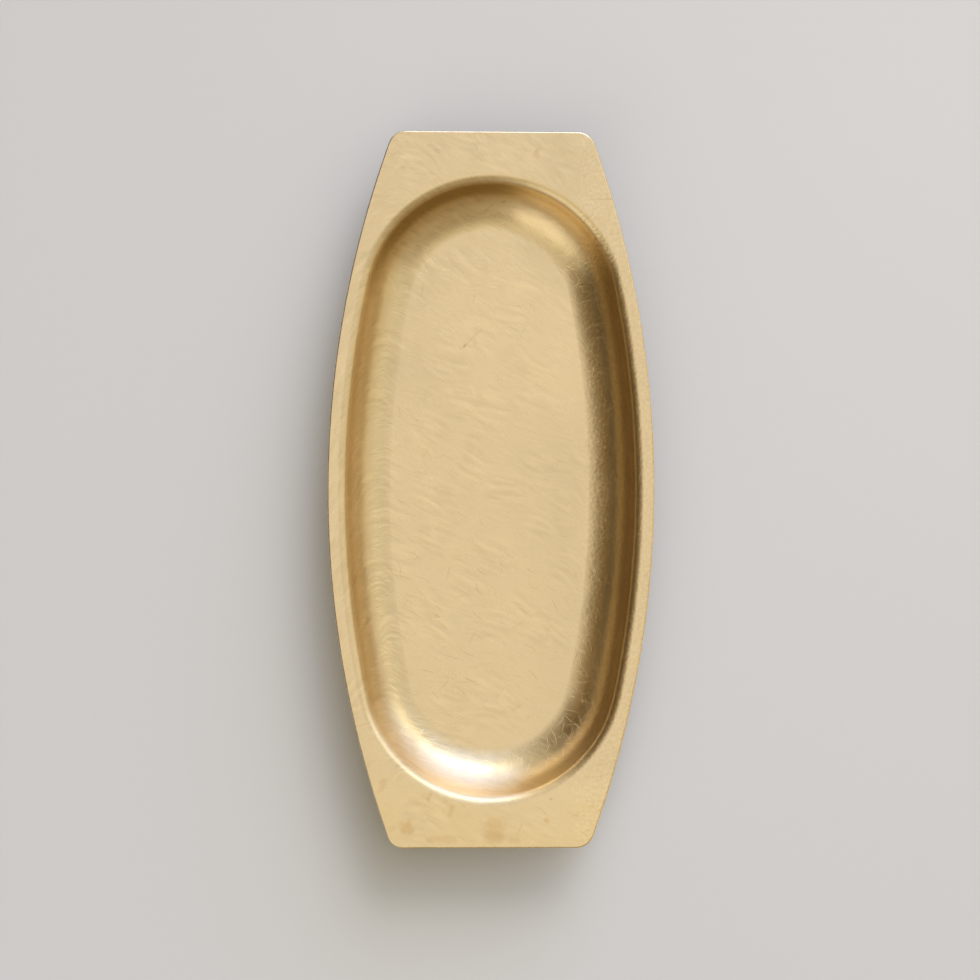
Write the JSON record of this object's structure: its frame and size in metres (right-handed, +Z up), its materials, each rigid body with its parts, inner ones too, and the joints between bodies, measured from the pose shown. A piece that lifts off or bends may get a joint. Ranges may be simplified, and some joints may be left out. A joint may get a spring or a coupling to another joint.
{
  "type": "oval tray",
  "caption": "Shallow brass tray, barrel-shaped with straight ends and rounded corners, with a flat rim round an oval well pressed into its middle.",
  "frame": {"origin": "on the surface that the tray stands on, under the centre of the well", "axes": "+Y along the tray's length, +X across its width, +Z up, out of the well"},
  "size_m": [0.1004, 0.22, 0.0152],
  "materials": {
    "brass": "worn satin, with fine random scratches and light patina"
  },
  "bodies": {
    "root": {"pressed_tray": "brass"}
  },
  "joints": []
}
